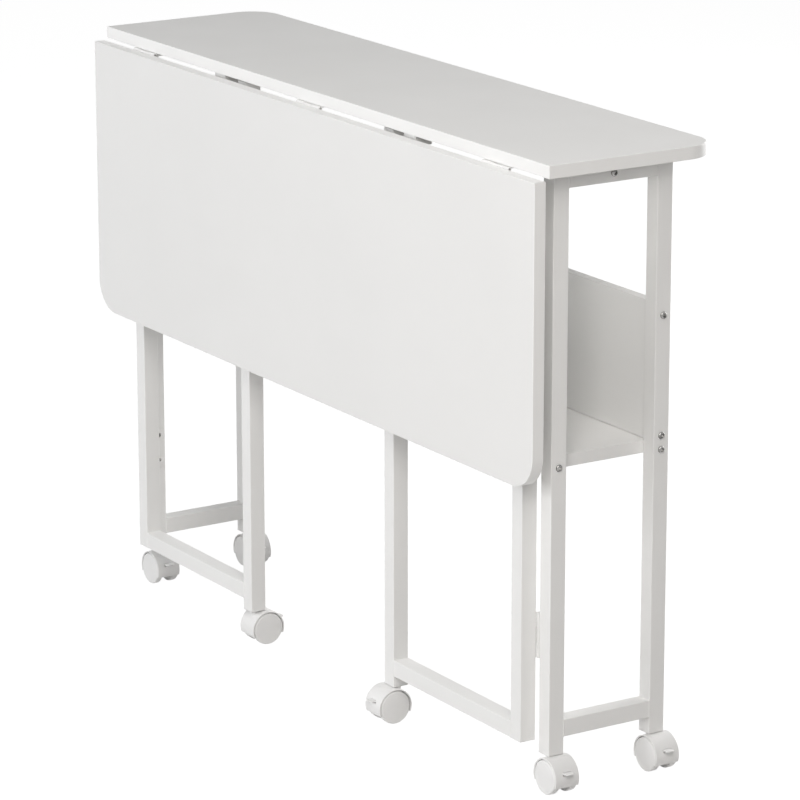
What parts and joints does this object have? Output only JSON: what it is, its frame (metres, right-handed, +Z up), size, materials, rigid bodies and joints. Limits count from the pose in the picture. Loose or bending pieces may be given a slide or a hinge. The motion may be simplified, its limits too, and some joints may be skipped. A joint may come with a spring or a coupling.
{
  "type": "folding desk",
  "caption": "White rolling desk with a narrow fixed top, a hinged drop leaf, swing-out gate legs, a shelf with a back panel and braked twin-wheel casters.",
  "frame": {"origin": "on the floor, under the middle of the folded desk's box", "axes": "+X along the desk to the right as seen from the leaf, +Y from the leaf to the rear, +Z up"},
  "size_m": [1, 0.2552, 0.737],
  "materials": {
    "melamine": "white matt melamine on board",
    "powder_coat": "white satin powder coat",
    "hinge_enamel": "white enamel",
    "chrome": "bright plated",
    "caster_hood": "white moulded",
    "caster_wheel": "white moulded",
    "caster_brake": "white moulded",
    "caster_stem": "white moulded plug over a stem",
    "catch": "white moulded"
  },
  "bodies": {
    "frame": {"fixed_top": "melamine", "shelf": "melamine", "back_panel": "melamine", "top_beam": "powder_coat", "left_end_frame": "powder_coat", "right_end_frame": "powder_coat", "leaf_hinge_left_top_plate": "hinge_enamel", "leaf_hinge_middle_top_plate": "hinge_enamel", "leaf_hinge_right_top_plate": "hinge_enamel", "left_gate_hinge_lower_post_plate": "hinge_enamel", "left_gate_hinge_upper_post_plate": "hinge_enamel", "right_gate_hinge_lower_post_plate": "hinge_enamel", "right_gate_hinge_upper_post_plate": "hinge_enamel", "left_gate_catch": "catch", "right_gate_catch": "catch", "left_screw_top_rail": "chrome", "left_screw_shelf_front": "chrome", "left_screw_shelf_rear": "chrome", "left_screw_panel_low": "chrome", "left_screw_panel_high": "chrome", "right_screw_top_rail": "chrome", "right_screw_shelf_front": "chrome", "right_screw_shelf_rear": "chrome", "right_screw_panel_low": "chrome", "right_screw_panel_high": "chrome", "caster_left_front_stem": "caster_stem", "caster_left_rear_stem": "caster_stem", "caster_right_front_stem": "caster_stem", "caster_right_rear_stem": "caster_stem"},
    "leaf": {"drop_leaf": "melamine", "leaf_hinge_left_leaf_plate": "hinge_enamel", "leaf_hinge_middle_leaf_plate": "hinge_enamel", "leaf_hinge_right_leaf_plate": "hinge_enamel"},
    "left_gate": {"left_gate": "powder_coat", "left_gate_hinge_lower_gate_plate": "hinge_enamel", "left_gate_hinge_upper_gate_plate": "hinge_enamel", "caster_left_gate_stem": "caster_stem"},
    "right_gate": {"right_gate": "powder_coat", "right_gate_hinge_lower_gate_plate": "hinge_enamel", "right_gate_hinge_upper_gate_plate": "hinge_enamel", "caster_right_gate_stem": "caster_stem"},
    "left_front_caster": {"caster_left_front_hood": "caster_hood"},
    "left_front_wheels": {"caster_left_front_wheels": "caster_wheel"},
    "left_front_brake": {"caster_left_front_brake": "caster_brake"},
    "left_rear_caster": {"caster_left_rear_hood": "caster_hood"},
    "left_rear_wheels": {"caster_left_rear_wheels": "caster_wheel"},
    "left_rear_brake": {"caster_left_rear_brake": "caster_brake"},
    "left_gate_caster": {"caster_left_gate_hood": "caster_hood"},
    "left_gate_wheels": {"caster_left_gate_wheels": "caster_wheel"},
    "left_gate_brake": {"caster_left_gate_brake": "caster_brake"},
    "right_front_caster": {"caster_right_front_hood": "caster_hood"},
    "right_front_wheels": {"caster_right_front_wheels": "caster_wheel"},
    "right_front_brake": {"caster_right_front_brake": "caster_brake"},
    "right_rear_caster": {"caster_right_rear_hood": "caster_hood"},
    "right_rear_wheels": {"caster_right_rear_wheels": "caster_wheel"},
    "right_rear_brake": {"caster_right_rear_brake": "caster_brake"},
    "right_gate_caster": {"caster_right_gate_hood": "caster_hood"},
    "right_gate_wheels": {"caster_right_gate_wheels": "caster_wheel"},
    "right_gate_brake": {"caster_right_gate_brake": "caster_brake"}
  },
  "joints": [
    {"name": "leaf_lift", "type": "hinge", "parent": "frame", "child": "leaf", "pos_m": [0, -0.1037, 0.7195], "axis": [-1, 0, 0], "range_deg": [0, 90]},
    {"name": "left_gate_swing", "type": "hinge", "parent": "frame", "child": "left_gate", "pos_m": [-0.44725, -0.07485, 0.4], "axis": [0, 0, -1], "range_deg": [0, 1.5]},
    {"name": "right_gate_swing", "type": "hinge", "parent": "frame", "child": "right_gate", "pos_m": [0.44725, -0.07485, 0.4], "axis": [0, 0, 1], "range_deg": [0, 1.5]},
    {"name": "left_front_swivel", "type": "hinge", "parent": "frame", "child": "left_front_caster", "pos_m": [-0.46, -0.0655, 0.03], "axis": [0, 0, 1], "continuous": true},
    {"name": "left_front_roll", "type": "hinge", "parent": "left_front_caster", "child": "left_front_wheels", "pos_m": [-0.449, -0.0655, 0.0202], "axis": [0, 1, 0], "continuous": true},
    {"name": "left_front_brake_press", "type": "hinge", "parent": "left_front_caster", "child": "left_front_brake", "pos_m": [-0.4345, -0.0655, 0.0287], "axis": [0, 1, 0], "range_deg": [0, 11]},
    {"name": "left_rear_swivel", "type": "hinge", "parent": "frame", "child": "left_rear_caster", "pos_m": [-0.46, 0.0745, 0.03], "axis": [0, 0, 1], "continuous": true},
    {"name": "left_rear_roll", "type": "hinge", "parent": "left_rear_caster", "child": "left_rear_wheels", "pos_m": [-0.449, 0.0745, 0.0202], "axis": [0, 1, 0], "continuous": true},
    {"name": "left_rear_brake_press", "type": "hinge", "parent": "left_rear_caster", "child": "left_rear_brake", "pos_m": [-0.4345, 0.0745, 0.0287], "axis": [0, 1, 0], "range_deg": [0, 11]},
    {"name": "left_gate_swivel", "type": "hinge", "parent": "left_gate", "child": "left_gate_caster", "pos_m": [-0.1665, -0.0876, 0.03], "axis": [0, 0, 1], "continuous": true},
    {"name": "left_gate_roll", "type": "hinge", "parent": "left_gate_caster", "child": "left_gate_wheels", "pos_m": [-0.1665, -0.0766, 0.0202], "axis": [-1, 0, 0], "continuous": true},
    {"name": "left_gate_brake_press", "type": "hinge", "parent": "left_gate_caster", "child": "left_gate_brake", "pos_m": [-0.1665, -0.0621, 0.0287], "axis": [-1, 0, 0], "range_deg": [0, 11]},
    {"name": "right_front_swivel", "type": "hinge", "parent": "frame", "child": "right_front_caster", "pos_m": [0.46, -0.0655, 0.03], "axis": [0, 0, 1], "continuous": true},
    {"name": "right_front_roll", "type": "hinge", "parent": "right_front_caster", "child": "right_front_wheels", "pos_m": [0.471, -0.0655, 0.0202], "axis": [0, 1, 0], "continuous": true},
    {"name": "right_front_brake_press", "type": "hinge", "parent": "right_front_caster", "child": "right_front_brake", "pos_m": [0.4855, -0.0655, 0.0287], "axis": [0, 1, 0], "range_deg": [0, 11]},
    {"name": "right_rear_swivel", "type": "hinge", "parent": "frame", "child": "right_rear_caster", "pos_m": [0.46, 0.0745, 0.03], "axis": [0, 0, 1], "continuous": true},
    {"name": "right_rear_roll", "type": "hinge", "parent": "right_rear_caster", "child": "right_rear_wheels", "pos_m": [0.471, 0.0745, 0.0202], "axis": [0, 1, 0], "continuous": true},
    {"name": "right_rear_brake_press", "type": "hinge", "parent": "right_rear_caster", "child": "right_rear_brake", "pos_m": [0.4855, 0.0745, 0.0287], "axis": [0, 1, 0], "range_deg": [0, 11]},
    {"name": "right_gate_swivel", "type": "hinge", "parent": "right_gate", "child": "right_gate_caster", "pos_m": [0.1665, -0.0876, 0.03], "axis": [0, 0, 1], "continuous": true},
    {"name": "right_gate_roll", "type": "hinge", "parent": "right_gate_caster", "child": "right_gate_wheels", "pos_m": [0.1665, -0.0986, 0.0202], "axis": [1, 0, 0], "continuous": true},
    {"name": "right_gate_brake_press", "type": "hinge", "parent": "right_gate_caster", "child": "right_gate_brake", "pos_m": [0.1665, -0.1131, 0.0287], "axis": [1, 0, 0], "range_deg": [0, 11]}
  ]
}
